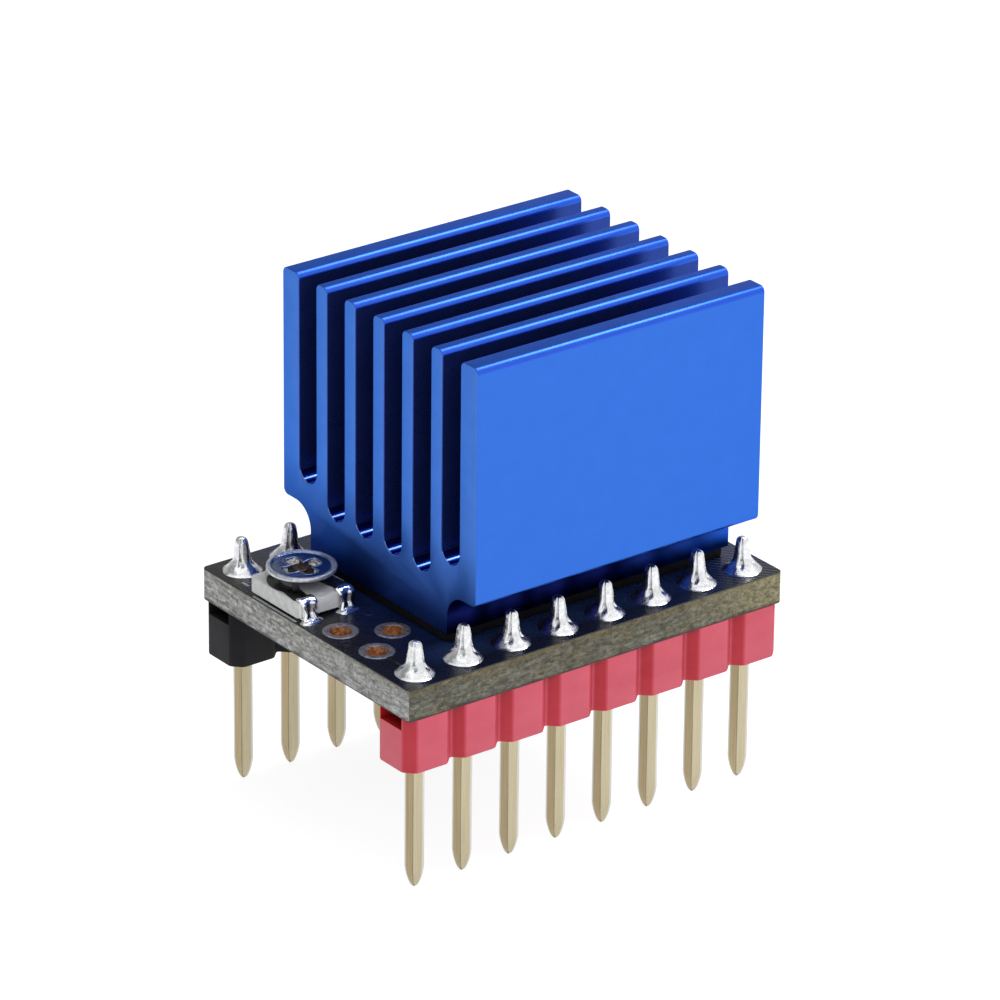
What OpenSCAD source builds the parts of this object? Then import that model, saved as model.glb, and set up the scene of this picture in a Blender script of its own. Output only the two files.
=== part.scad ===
// Stepper driver module: a small plug-in circuit board with two rows of pins, a finned heat sink
// on top and a trimming potentiometer that sets the motor current.
// X runs along the pin rows, Y across them and Z up. The origin is under the board's centre,
// level with the tips of the pins. All sizes are in millimetres.

/* [Circuit board] */
// Length along the pin rows
board_l = 20.32; // [20.32:0.01:21]
// Width across the pin rows
board_w = 15.24; // [15.24:0.01:16]
// Thickness
board_t = 1.5; // [1.4:0.05:1.7]
// Radius of the corners
board_r = 0.25; // [0.1:0.05:0.5]

/* [Pin headers] */
// Distance between neighbouring pins
pitch = 2.54; // [2.54]
// Distance between the two rows
row_gap = 12.7; // [12.7]
// Side of the square pins
pin_side = 0.64; // [0.6:0.01:0.66]
// Length of the pins below the insulator
pin_below = 6.1; // [5:0.1:8]
// Length of the pins above the board
pin_above = 1.5; // [1.4:0.05:1.8]
// Height and width of the insulator
header_s = 2.54; // [2.3:0.01:2.54]
// Leg of the corner chamfers between positions
notch = 0.46; // [0.3:0.02:0.6]
// Width of the channel along the insulator's top
channel_w = 1.5; // [1:0.1:1.6]
// Depth of that channel
channel_d = 0.55; // [0.2:0.05:0.8]

/* [Solder joints] */
// Radius of the fillet on the board
solder_r = 0.88; // [0.7:0.02:0.95]
// Height that the solder climbs up the pin
solder_h = 1.05; // [0.8:0.05:1.3]
// Radius of the pin holes in the board
pin_hole_r = 0.5; // [0.48:0.01:0.55]

/* [Test holes] */
// Radius of the open bore
test_bore_r = 0.5; // [0.4:0.05:0.6]
// Radius of the copper ring on each face
test_ring_r = 0.79; // [0.75:0.01:0.85]

/* [Heat sink] */
// Length along the fins
sink_l = 15.4; // [12:0.1:15.6]
// Width across the fins
sink_w = 14; // [13.8:0.1:14.4]
// Height without the adhesive pad
sink_h = 13; // [9:0.5:16]
// Distance of its middle from the board's middle, along X
sink_x = 1.5; // [1.4:0.1:1.6]
// Width of the gaps between fins
gap = 1.27; // [1.2:0.01:1.3]
// Thickness of the five inner fins
fin_t = 0.8; // [0.75:0.01:0.85]
// Height of the four inner gaps' floors above the base
floor_h = 2.3; // [2:0.1:2.6]
// How much higher the two outer gaps' floors are
outer_step = 1.07; // [0.8:0.01:1.2]
// Width of the foot that stands on the board
foot_w = 10; // [9.6:0.1:10.2]
// Height of the step from the foot to the outer fins
ledge_h = 2.25; // [2:0.05:2.3]
// How much lower the step is on the front side
front_drop = 0.28; // [0:0.01:0.3]
// Radius of the cove under the step
cove_r = 1.1; // [0.8:0.1:1.2]
// Thickness of the adhesive pad under the foot
pad_t = 0.5; // [0.3:0.05:0.6]

/* [Trimming potentiometer] */
// Distance of its axis from the board's middle, along X
trim_x = -8.45; // [-8.5:0.05:-8.4]
// Distance of its axis from the board's middle, along Y
trim_y = 2.5; // [2.3:0.05:2.7]
// Size of the ceramic body along X
trim_l = 3; // [2.9:0.05:3.1]
// Size of the ceramic body along Y
trim_w = 3.6; // [3.5:0.05:3.7]
// Thickness of the ceramic body
trim_t = 0.75; // [0.7:0.05:0.85]
// Radius of the adjusting disc
rotor_r = 1.55; // [1.5:0.01:1.6]
// Running clearance between the disc and its pin
run_gap = 0.03; // [0.02:0.01:0.05]

/* [Hidden] */
$fn = 64;

pins = 8;
board_z = pin_below + header_s;
top_z = board_z + board_t;
sink_z = top_z + pad_t;
row_y = row_gap / 2;

// Pins: taper of the lower and upper ends, and the half width left at the very tip
tip_h = 1;
top_tip_h = 0.75;
tip_half = 0.07;
tip_round = 0.12;

// Thickness of the copper rings round the test holes, and where the holes are
ring_t = 0.04;
test_holes = [[-9.05, -1.2], [-7.2, -2.45], [-8.95, -3.7]];

// Heat sink: rounding of the fin tips and of the outer fins' lower corners
tip_r = 0.28;
ledge_r = 0.3;
slot_pitch = gap + fin_t;
slots = 6;

// Trimming potentiometer: levels above the board, from the bottom up
trim_sheet = 0.14;
trim_body_z = top_z + trim_sheet;
trim_top_z = trim_body_z + trim_t;
track_t = 0.03;
track_in = 0.88;
track_out = 1.4;
track_half_deg = 140;
rotor_z = trim_top_z + 0.33;
rotor_floor = 0.13;
rotor_h = 0.4;
dish_r = 1.36;
dish_floor = 0.25;
cross_l = 1.75;
cross_w = 0.56;
rivet_r = 0.22;
rivet_foot_r = 0.34;
rivet_head_r = 0.26;
rivet_head_t = 0.07;
wiper_deg = 45;
wiper_r = 1.11;
wiper_t = 0.09;
wiper_dot_r = 0.07;
stop_deg = -135;
stop_half_deg = 6;
stop_in = 1.4;
lug_in = 1.44;
lug_out = 1.62;
lug_half_deg = 42;
lug_h = 0.28;
body_shift = [-0.08, -0.15];
terminal_w = 0.75;
terminal_x = 0.98;
terminal_foot = 0.4;
terminal_grip = 0.5;

// Parts under the board
chip_s = 5;
chip_t = 0.85;
chip_x = 1.5;

// A flat shape with its own outline r rounded off at the four corners
module rounded(l, w, r) {
    square([l - 2 * r, w], center = true);
    square([l, w - 2 * r], center = true);
    for (x = [-1, 1], y = [-1, 1])
        translate([x * (l / 2 - r), y * (w / 2 - r)]) circle(r);
}

// A flat slice between two angles, out to radius r
module wedge(r, from, to) {
    middle = (from + to) / 2;
    polygon([
        [0, 0],
        r * [cos(from), sin(from)],
        2 * r * [cos((from + middle) / 2), sin((from + middle) / 2)],
        2 * r * [cos(middle), sin(middle)],
        2 * r * [cos((to + middle) / 2), sin((to + middle) / 2)],
        r * [cos(to), sin(to)]
    ]);
}

// A flat ring between two radii and two angles
module arc_band(r_in, r_out, from, to) {
    intersection() {
        difference() {
            circle(r_out);
            circle(r_in);
        }
        wedge(2 * r_out, from, to);
    }
}

function pin_x(i) = (i - (pins + 1) / 2) * pitch;

module at_pins(y) {
    for (i = [1:pins]) translate([pin_x(i), y]) children();
}

module circuit_board() {
    color("#15171c")
    translate([0, 0, board_z])
    linear_extrude(board_t)
    difference() {
        rounded(board_l, board_w, board_r);
        at_pins(row_y) circle(pin_hole_r);
        at_pins(-row_y) circle(pin_hole_r);
        for (p = test_holes) translate(p) circle(test_bore_r);
    }
}

// One row's insulator: a bar of eight blocks with chamfered corners and a channel along its top
module header_outline() {
    square([pins * pitch, header_s - 2 * notch], center = true);
    at_pins(0)
    intersection() {
        square([pitch, header_s], center = true);
        rotate(45) square((pitch + header_s - 2 * notch) / sqrt(2), center = true);
    }
}

module header_body(y, shade) {
    color(shade)
    difference() {
        translate([0, y, pin_below]) linear_extrude(header_s) header_outline();
        translate([-board_l, y - channel_w / 2, board_z - channel_d])
            cube([2 * board_l, channel_w, 1]);
        translate([0, y, pin_below - 1])
            linear_extrude(header_s + 2) at_pins(0) square(pin_side, center = true);
    }
}

// The outline of a pin from the side, with its two tapered ends
module pin_outline() {
    half = pin_side / 2;
    top = top_z + pin_above;
    right = [
        [tip_half, 0], [tip_half + 0.05, tip_round], [half, tip_h],
        [half, top - top_tip_h], [tip_half + 0.08, top - tip_round], [tip_half, top]
    ];
    left = [for (i = [len(right) - 1:-1:0]) [-right[i][0], right[i][1]]];
    polygon(concat(right, left));
}

module pin_solid(i, y) {
    translate([pin_x(i), y, 0])
    intersection() {
        rotate([90, 0, 0]) linear_extrude(pin_side, center = true) pin_outline();
        rotate([90, 0, 90]) linear_extrude(pin_side, center = true) pin_outline();
    }
}

module front_pin(i) {
    color("#d6cca6") pin_solid(i, -row_y);
}

module rear_pin(i) {
    color("#d6cca6") pin_solid(i, row_y);
}

// Solder around one pin: a concave cone on the board and the filling of the hole
module solder_joint(i, y) {
    neck = pin_side / 2 * sqrt(2) + 0.02;
    flare = solder_r - neck;
    sweep_r = (flare * flare + solder_h * solder_h) / (2 * flare);
    color("#d9dcdf")
    difference() {
        translate([pin_x(i), y, top_z]) {
            rotate_extrude()
            difference() {
                square([solder_r, solder_h]);
                translate([neck + sweep_r, solder_h]) circle(sweep_r, $fn = 128);
            }
            translate([0, 0, -board_t]) cylinder(h = board_t, r = pin_hole_r);
        }
        pin_solid(i, y);
    }
}

module front_solder(i) {
    solder_joint(i, -row_y);
}

module rear_solder(i) {
    solder_joint(i, row_y);
}

// Copper rings of one test hole, one on each face of the board
module test_pad(i) {
    color("#c8824e")
    for (z = [board_z - ring_t, top_z])
        translate([test_holes[i - 1][0], test_holes[i - 1][1], z])
        linear_extrude(ring_t)
        difference() {
            circle(test_ring_r);
            circle(test_bore_r);
        }
}

module thermal_pad() {
    edge = 0.15;
    color("#1c1c20")
    translate([sink_x, 0, top_z])
    linear_extrude(pad_t) rounded(sink_l - 2 * edge, foot_w - 2 * edge, 0.2);
}

// Cross-section of the heat sink, with y across the fins and the foot's underside at zero
module sink_outline() {
    difference() {
        union() {
            translate([-foot_w / 2, 0]) square([foot_w, sink_h - tip_r]);
            for (s = [-1, 1]) {
                step = step_h(s);
                translate([s < 0 ? -sink_w / 2 : 0, step + ledge_r])
                    square([sink_w / 2, sink_h - step - ledge_r - tip_r]);
                translate([s < 0 ? -sink_w / 2 + ledge_r : 0, step])
                    square([sink_w / 2 - ledge_r, ledge_r]);
                translate([s * (sink_w / 2 - ledge_r), step + ledge_r]) circle(ledge_r);
                sink_cove(s);
            }
            for (i = [0:slots]) sink_fin_tip(i);
        }
        for (i = [0:slots - 1]) sink_slot(i);
    }
}

// The material left in the corner between the foot and the step
module sink_cove(s) {
    difference() {
        translate([s * foot_w / 2 - (s < 0 ? cove_r : 0), step_h(s) - cove_r]) square(cove_r);
        translate([s * (foot_w / 2 + cove_r), step_h(s) - cove_r]) circle(cove_r);
    }
}

// Height of the step on the front (s = -1) or rear (s = 1) side
function step_h(s) = ledge_h - (s < 0 ? front_drop : 0);

function slot_y(i) = (i - (slots - 1) / 2) * slot_pitch;

module sink_slot(i) {
    base = floor_h + (i == 0 || i == slots - 1 ? outer_step : 0) + gap / 2;
    translate([slot_y(i), base]) circle(gap / 2);
    translate([slot_y(i) - gap / 2, base]) square([gap, sink_h]);
}

// The rounded top edge of one fin
module sink_fin_tip(i) {
    from = i == 0 ? -sink_w / 2 : slot_y(i - 1) + gap / 2;
    to = i == slots ? sink_w / 2 : slot_y(i) - gap / 2;
    translate([from + tip_r, sink_h - 2 * tip_r]) square([to - from - 2 * tip_r, 2 * tip_r]);
    for (y = [from + tip_r, to - tip_r]) translate([y, sink_h - tip_r]) circle(tip_r);
}

module heatsink() {
    color("#2f6fe0")
    translate([sink_x - sink_l / 2, 0, sink_z])
    rotate([90, 0, 90]) linear_extrude(sink_l) sink_outline();
}

module at_trimmer(z) {
    translate([trim_x, trim_y, z]) children();
}

// Ceramic body, with the lug at the back that stops the adjusting disc at both ends of its travel
module trimmer_base() {
    color("#e9e9e4")
    difference() {
        union() {
            at_trimmer(trim_body_z) linear_extrude(trim_t)
                translate(body_shift) rounded(trim_l, trim_w, 0.2);
            at_trimmer(trim_body_z) linear_extrude(trim_t + lug_h)
                arc_band(lug_in, lug_out, 90 - lug_half_deg, 90 + lug_half_deg);
        }
        at_trimmer(top_z) cylinder(h = 2, r = rivet_foot_r);
    }
}

// Horseshoe of resistive film, with a lead from each end to its terminal
module trimmer_track() {
    lead_w = 0.6;
    lead_l = 0.8;
    lead_y = trim_w / 2 - terminal_grip * 0.6;
    color("#1b1b1d")
    at_trimmer(trim_top_z) linear_extrude(track_t) {
        arc_band(track_in, track_out, 90 - track_half_deg, 90 + track_half_deg);
        for (s = [-1, 1])
            translate(body_shift) translate([s * terminal_x - lead_w / 2, -lead_y])
                square([lead_w, lead_l]);
    }
}

// A sheet-metal clip round the front edge of the ceramic body, with a foot on the board
module trimmer_terminal(side) {
    grip_y = -trim_w / 2;
    color("#cfd2d6")
    at_trimmer(top_z)
    translate([body_shift[0] + side * terminal_x - terminal_w / 2, body_shift[1], 0])
    rotate([90, 0, 90]) linear_extrude(terminal_w)
    polygon([
        [grip_y + terminal_grip, 0],
        [grip_y - terminal_foot, 0],
        [grip_y - terminal_foot, trim_sheet],
        [grip_y - trim_sheet, trim_sheet],
        [grip_y - trim_sheet, trim_t + 2 * trim_sheet],
        [grip_y + terminal_grip * 0.6, trim_t + 2 * trim_sheet],
        [grip_y + terminal_grip * 0.6, trim_t + trim_sheet],
        [grip_y, trim_t + trim_sheet],
        [grip_y, trim_sheet],
        [grip_y + terminal_grip, trim_sheet]
    ]);
}

// Strip under the ceramic body, from the centre pin to a foot at the back
module trimmer_wiper_terminal() {
    color("#cfd2d6")
    at_trimmer(top_z) {
        cylinder(h = trim_sheet, r = 0.55);
        translate([-0.45, 0, 0]) cube([0.9, trim_w / 2 + 0.4, trim_sheet]);
    }
}

// Centre pin: the disc turns on its upper end, under its spread head
module trimmer_rivet() {
    floor_top = rotor_z + rotor_floor + 0.02;
    color("#b9a06a") {
        at_trimmer(trim_body_z) cylinder(h = trim_t + 0.05, r = rivet_foot_r);
        at_trimmer(trim_top_z) cylinder(h = floor_top - trim_top_z, r = rivet_r);
        at_trimmer(floor_top) cylinder(h = rivet_head_t, r = rivet_head_r + run_gap);
    }
}

// Sprung contact under the disc: a ring, an arm and the dot that slides on the track
module trimmer_wiper() {
    low = rotor_z - wiper_t;
    color("#c9a85c") {
        at_trimmer(low) linear_extrude(wiper_t)
        difference() {
            union() {
                circle(0.62);
                rotate(wiper_deg) translate([0, -0.17]) square([wiper_r, 0.34]);
                rotate(wiper_deg) translate([wiper_r, 0]) circle(0.17);
            }
            circle(rivet_r + 2 * run_gap);
        }
        at_trimmer(0)
        rotate(wiper_deg)
        translate([wiper_r, 0, trim_top_z + track_t + 0.02])
            cylinder(h = low - trim_top_z - track_t, r = wiper_dot_r);
    }
}

// Adjusting disc: a dished cup with a cross recess for the screwdriver and a stop tab on its rim
module trimmer_rotor() {
    color("#c4c8cf")
    at_trimmer(rotor_z) {
        difference() {
            cylinder(h = rotor_h, r = rotor_r);
            translate([0, 0, rotor_floor + dish_floor - 0.06]) cylinder(h = 1, r = dish_r);
            translate([0, 0, rotor_floor]) linear_extrude(1) cross_recess();
            translate([0, 0, -1]) cylinder(h = 2, r = rivet_r + run_gap);
        }
        translate([0, 0, -0.22]) linear_extrude(0.3)
            arc_band(stop_in, rotor_r, stop_deg - stop_half_deg, stop_deg + stop_half_deg);
    }
}

module cross_recess() {
    for (a = [0, 90]) rotate(a) rounded(cross_l, cross_w, 0.12);
    circle(0.42);
}

// A surface-mounted part under the board: a body between two slightly larger end caps
module chip_part(x, y, l, w, h, cap, turn, shade) {
    rim = 0.03;
    color(shade)
    translate([x, y, board_z])
    rotate(turn) {
        translate([-l / 2 + rim, -w / 2 + rim, -h]) cube([l - 2 * rim, w - 2 * rim, h]);
        for (s = [-1, 1])
            translate([s * (l - cap) / 2 - cap / 2, -w / 2, -h - rim]) cube([cap, w, h + rim]);
    }
}

module driver_chip() {
    color("#222226")
    translate([chip_x, 0, board_z - chip_t]) linear_extrude(chip_t) rounded(chip_s, chip_s, 0.1);
}

module sense_resistor(i) {
    chip_part(7.4, i == 1 ? -2.6 : 2.6, 3.2, 1.6, 0.55, 0.5, 90, "#2b2b2f");
}

module supply_capacitor(i) {
    chip_part(-3.2, i == 1 ? -3.6 : 3.6, 2, 1.25, 1.2, 0.4, 0, "#b9987a");
}

module charge_pump_capacitor() {
    chip_part(-2.7, 0, 1.6, 0.8, 0.8, 0.35, 90, "#b9987a");
}

module regulator_capacitor() {
    chip_part(1.5, 3.6, 1.6, 0.8, 0.8, 0.35, 0, "#b9987a");
}

module pull_resistor(i) {
    chip_part(-5.2, i == 1 ? -1.4 : 1.4, 1.6, 0.8, 0.45, 0.3, 0, "#2b2b2f");
}

circuit_board();
header_body(-row_y, "#d45a6a");  // front_header_body
header_body(row_y, "#26262a");  // rear_header_body
for (i = [1:pins]) {
    front_pin(i);
    rear_pin(i);
    front_solder(i);
    rear_solder(i);
}
for (i = [1:len(test_holes)])
    test_pad(i);
thermal_pad();
heatsink();
trimmer_base();
trimmer_track();
trimmer_terminal(-1);  // trimmer_terminal_1
trimmer_terminal(1);  // trimmer_terminal_2
trimmer_wiper_terminal();
trimmer_rivet();
trimmer_wiper();
trimmer_rotor();
driver_chip();
for (i = [1:2]) {
    sense_resistor(i);
    supply_capacitor(i);
    pull_resistor(i);
}
charge_pump_capacitor();
regulator_capacitor();
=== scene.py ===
"""Looks of a stepper driver module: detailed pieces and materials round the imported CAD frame."""
import math

import bmesh
import bpy
from mathutils import Matrix, Vector, noise


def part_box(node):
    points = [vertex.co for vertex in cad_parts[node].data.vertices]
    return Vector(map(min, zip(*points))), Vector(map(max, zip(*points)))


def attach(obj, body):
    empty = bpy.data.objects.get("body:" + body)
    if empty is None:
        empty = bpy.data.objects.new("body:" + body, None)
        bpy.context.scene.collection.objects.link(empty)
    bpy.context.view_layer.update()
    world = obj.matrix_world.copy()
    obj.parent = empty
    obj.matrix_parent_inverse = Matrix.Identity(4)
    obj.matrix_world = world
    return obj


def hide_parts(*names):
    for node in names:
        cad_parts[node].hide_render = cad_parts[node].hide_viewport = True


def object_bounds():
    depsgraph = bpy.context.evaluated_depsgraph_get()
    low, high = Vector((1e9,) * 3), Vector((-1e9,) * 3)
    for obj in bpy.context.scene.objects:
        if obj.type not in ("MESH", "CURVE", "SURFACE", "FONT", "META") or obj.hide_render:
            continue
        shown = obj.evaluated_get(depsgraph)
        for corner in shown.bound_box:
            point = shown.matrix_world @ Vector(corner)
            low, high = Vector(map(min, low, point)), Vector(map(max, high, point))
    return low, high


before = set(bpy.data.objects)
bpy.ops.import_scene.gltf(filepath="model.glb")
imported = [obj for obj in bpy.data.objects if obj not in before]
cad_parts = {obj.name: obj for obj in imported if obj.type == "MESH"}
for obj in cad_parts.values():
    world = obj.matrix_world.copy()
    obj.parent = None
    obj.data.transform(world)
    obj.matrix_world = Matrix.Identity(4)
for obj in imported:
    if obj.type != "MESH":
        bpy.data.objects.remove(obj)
CAD_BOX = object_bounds()

MM = 0.001
BODY = "module"
ROTOR = "rotor"
PINS = 8
PI = math.pi
WHITE = (1, 1, 1, 1)


def box_mm(node):
    """Lowest and highest corner of a CAD node, in millimetres."""
    low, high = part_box(node)
    return low / MM, high / MM


# ---------------------------------------------------------------- sizes, in millimetres
BOARD_LOW, BOARD_HIGH = box_mm("circuit_board")
TOP = BOARD_HIGH.z
UNDER = BOARD_LOW.z
BOARD_CORNER = 0.25
PIN_HOLE = 0.5
HEADER_LOW, HEADER_HIGH = box_mm("front_header_body")
HEADER_FOOT = HEADER_LOW.z
HEADER_SIDE = HEADER_HIGH.y - HEADER_LOW.y
NOTCH = 0.46
HEADER_ROUND = 0.13
CHANNEL_HALF = 0.75
CHANNEL_DEEP = 0.55
PIN_LOW, PIN_HIGH = box_mm("front_pin_1")
PIN_HALF = (PIN_HIGH.x - PIN_LOW.x) / 2
TEST_BORE = 0.5
TEST_RING = 0.79
SINK_LOW, SINK_HIGH = box_mm("heatsink")
GAP = 1.27
FIN = 0.8
SLOTS = 6
FLOOR_H = 2.3
OUTER_STEP = 1.07
FOOT_HALF = 5.0
LEDGE_H = 2.25
FRONT_DROP = 0.28
COVE_R = 1.1
LEDGE_R = 0.3
TIP_R = 0.28
CERAMIC_TOP = box_mm("trimmer_track")[0].z
ROTOR_LOW, ROTOR_HIGH = box_mm("trimmer_rotor")
TRIM = Vector(((ROTOR_LOW.x + ROTOR_HIGH.x) / 2, (ROTOR_LOW.y + ROTOR_HIGH.y) / 2, 0.0))
ROTOR_R = (ROTOR_HIGH.x - ROTOR_LOW.x) / 2
ROTOR_H = 0.4
ROTOR_Z = ROTOR_HIGH.z - ROTOR_H
TRIM_L = 3.0
TRIM_W = 3.6
TRIM_T = 0.75
TRIM_SHIFT = Vector((-0.08, -0.15))
SHEET = 0.14
LEAD_PITCH = 0.5

# Parts of a ring about the disc's axis: inner and outer radius, first and last angle in degrees.
LUG_BAND = (1.44, 1.62, 48, 132)
TAB_BAND = (1.4, 1.545, -141, -129)
FILM_BAND = (0.86, 1.46, -50, 230)


def centre_mm(node):
    low, high = box_mm(node)
    return (low + high) / 2


# ---------------------------------------------------------------- colours and materials
def srgb(red, green, blue):
    """A colour given in display values from 0 to 255, as linear values."""
    out = []
    for value in (red, green, blue):
        v = value / 255
        out.append(v / 12.92 if v <= 0.04045 else ((v + 0.055) / 1.055) ** 2.4)
    return (*out, 1.0)


class Nodes:
    """A node tree in the making. Values may be numbers, colours or sockets of other nodes."""

    def __init__(self, tree):
        self.tree = tree

    def node(self, kind, **values):
        made = self.tree.nodes.new(kind)
        for key, value in values.items():
            setattr(made, key, value)
        return made

    def feed(self, socket, value):
        if isinstance(value, bpy.types.NodeSocket):
            self.tree.links.new(value, socket)
        else:
            socket.default_value = value

    def spread(self, value, low, high, to_low=0.0, to_high=1.0, easing="LINEAR"):
        """The share of value between low and high, drawn out from to_low to to_high."""
        made = self.node("ShaderNodeMapRange", clamp=True, interpolation_type=easing)
        self.feed(made.inputs["Value"], value)
        for key, number in (("From Min", low), ("From Max", high), ("To Min", to_low), ("To Max", to_high)):
            made.inputs[key].default_value = number
        return made.outputs["Result"]

    def maths(self, kind, *values):
        made = self.node("ShaderNodeMath", operation=kind)
        for socket, value in zip(made.inputs, values):
            self.feed(socket, value)
        return made.outputs["Value"]

    def times(self, a, b):
        return self.maths("MULTIPLY", a, b)

    def plus(self, a, b):
        return self.maths("ADD", a, b)

    def split(self, place):
        """The three coordinates of a vector."""
        made = self.node("ShaderNodeSeparateXYZ")
        self.feed(made.inputs["Vector"], place)
        return made.outputs


class Finish(Nodes):
    """A material in the making: a Principled shader and the patterns that drive it."""

    def __init__(self, name, slot, **values):
        self.mat = bpy.data.materials.new(name)
        self.slot = slot
        self.mat.use_nodes = True
        super().__init__(self.mat.node_tree)
        self.bsdf = self.tree.nodes["Principled BSDF"]
        self.place = self.node("ShaderNodeTexCoord").outputs["Object"]
        for key, value in values.items():
            self.bsdf.inputs[key.replace("_", " ")].default_value = value

    def stretched(self, grain):
        """Object coordinates with grain cells per millimetre: three numbers, or one for every axis."""
        cells = (grain, grain, grain) if isinstance(grain, (int, float)) else grain
        mapping = self.node("ShaderNodeMapping")
        mapping.inputs["Scale"].default_value = [g / MM for g in cells]
        self.feed(mapping.inputs["Vector"], self.place)
        return mapping.outputs["Vector"]

    def noise(self, grain, detail=4.0, rough=0.6, seed=0.0):
        made = self.node("ShaderNodeTexNoise", noise_dimensions="4D")
        self.feed(made.inputs["Vector"], self.stretched(grain))
        for key, number in (("W", seed), ("Scale", 1.0), ("Detail", detail), ("Roughness", rough)):
            made.inputs[key].default_value = number
        return made.outputs["Fac"]

    def wave(self, grain, axis="X"):
        made = self.node("ShaderNodeTexWave", wave_type="BANDS", bands_direction=axis)
        self.feed(made.inputs["Vector"], self.stretched(grain))
        made.inputs["Scale"].default_value = 1.0
        made.inputs["Distortion"].default_value = 1.0
        return made.outputs["Fac"]

    def axis(self, name):
        """A coordinate in millimetres."""
        return self.split(self.stretched(1))[name]

    def along(self, name, *ends):
        """How far along an axis, as in spread()."""
        return self.spread(self.axis(name), *ends)

    def patch(self, body, colour, *ranges):
        """Paints a colour over the body, from nothing at the start of each range to all at its end."""
        share = 1.0
        for axis, start, end in ranges:
            share = self.times(share, self.along(axis, start, end))
        return self.mix(share, body, colour)

    def mix(self, share, low, high):
        """Colour low where share is 0 and high where it is 1."""
        made = self.node("ShaderNodeMix", data_type="RGBA")
        for key, value in (("Factor", share), (6, low), (7, high)):
            self.feed(made.inputs[key], value)
        return made.outputs[2]

    def colour(self, socket):
        self.feed(self.bsdf.inputs["Base Color"], socket)

    def rough(self, socket):
        self.feed(self.bsdf.inputs["Roughness"], socket)

    def graded(self, axis, start, end, colour, share):
        """Blends the colour towards another, from nothing at start along an axis to a share at end."""
        was = self.bsdf.inputs["Base Color"].links[0].from_socket
        self.colour(self.mix(self.along(axis, start, end, 0.0, share), was, srgb(*colour)))

    def bump(self, height, depth):
        """Relief of depth millimetres from a height between 0 and 1."""
        made = self.node("ShaderNodeBump")
        made.inputs["Distance"].default_value = depth * MM
        self.feed(made.inputs["Height"], height)
        self.feed(self.bsdf.inputs["Normal"], made.outputs["Normal"])


def mottled(name, slot, low, high, rough, grain, depth=0.0, fine=None, **values):
    """A finish whose colour and roughness drift with one pattern, over a finer relief."""
    made = Finish(name, slot, **values)
    drift = made.spread(made.noise(grain), 0.35, 0.65)
    made.colour(made.mix(drift, srgb(*low), srgb(*high)))
    made.rough(made.spread(made.noise(grain, seed=3), 0.3, 0.7, *rough))
    if depth:
        made.bump(made.noise(fine or grain, 3.0, seed=7), depth)
    return made


def anodised(name, low, high, rough, coat=0.0, gloss=0.12, metal=1.0, shine=0.5):
    """Dyed aluminium: blue metal whose grazing reflections stay blue, under a thin clear layer."""
    return mottled(
        name, "blue_anodising", low, high, rough, 1, Metallic=metal, Specular_IOR_Level=shine,
        Specular_Tint=srgb(95, 160, 245), Coat_Weight=coat, Coat_Roughness=gloss, Coat_IOR=1.55,
    )


def plastic(name, slot, low, high, rough, gloss=0.5):
    made = mottled(name, slot, low, high, rough, (0.5, 0.5, 0.9), Specular_IOR_Level=gloss)
    made.bump(made.noise(9, 2.0, seed=2), 0.012)
    return made


def mask_finish():
    """Glossy dark solder mask with the weave of the laminate and levelled lacquer under it."""
    made = Finish("board_mask_gloss", "board_mask", IOR=1.38, Coat_Weight=0.06, Coat_Roughness=0.08)
    drift = made.spread(made.noise(0.35, 3.0), 0.35, 0.65)
    body = made.mix(drift, srgb(12, 23, 50), srgb(18, 34, 78))
    left_edge = ("X", -6.2, -8.8)
    rear_left = (("X", -8.0, -9.6), ("Y", 2.5, 5.0))
    # Painted reflection and light: the mask in front of the heat sink is lifted towards blue, for the sink
    # reflected in it and against the sink's shade.
    painted_sink_reflection = (("Y", -4.4, -5.2), ("X", 7.5, 5.0), ("X", -8.0, -6.0))
    front_edge = ("Y", -5.7, -6.8)
    body = made.patch(body, srgb(25, 23, 22), left_edge)
    body = made.patch(body, srgb(12, 14, 12), *rear_left)
    body = made.patch(body, srgb(40, 60, 104), *painted_sink_reflection)
    body = made.patch(body, srgb(16, 20, 29), front_edge)
    threads = made.spread(made.wave((1.9, 1.5, 1), "DIAGONAL"), 0.72, 0.95, 0.0, 0.45)
    threads = made.times(threads, made.along("X", 6.5, 8.5))
    made.colour(made.mix(threads, body, srgb(92, 100, 116)))
    made.rough(made.spread(made.noise(3, 4.0, seed=4), 0.3, 0.7, 0.2, 0.34))
    weave = made.times(made.wave((2.2, 0.1, 1), "X"), made.wave((0.1, 2.2, 1), "Y"))
    relief = made.plus(made.times(weave, 0.35), made.noise(1.6, 4.0, seed=9))
    made.bump(relief, 0.02)
    return made


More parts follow.
